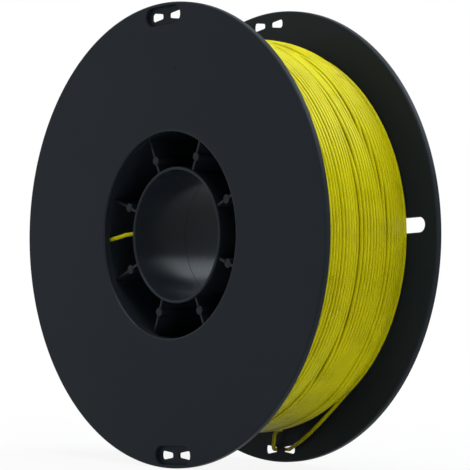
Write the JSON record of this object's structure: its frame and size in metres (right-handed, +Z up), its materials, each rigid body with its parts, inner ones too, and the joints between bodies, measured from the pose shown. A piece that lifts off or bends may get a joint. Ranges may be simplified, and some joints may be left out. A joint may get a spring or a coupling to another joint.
{
  "type": "string reel",
  "caption": "Flanged plastic reel with an open hub and a bore for a spindle, wound with round string whose end is laced through tie holes in the rim.",
  "frame": {"origin": "on the spindle's axis, midway between the two flanges", "axes": "+Y along the spindle from the front flange to the rear flange, +Z up, +X towards the sight slot in the rear flange, which lies 3.3 degrees above it"},
  "size_m": [0.2, 0.066, 0.2],
  "materials": {
    "reel_plastic": "satin moulded, charcoal",
    "string": "smooth extruded, yellow"
  },
  "bodies": {
    "root": {"front_half": "reel_plastic", "rear_half": "reel_plastic", "inner_turns": "string", "outer_turns": "string", "string_tail": "string", "string_start": "string"}
  },
  "joints": []
}
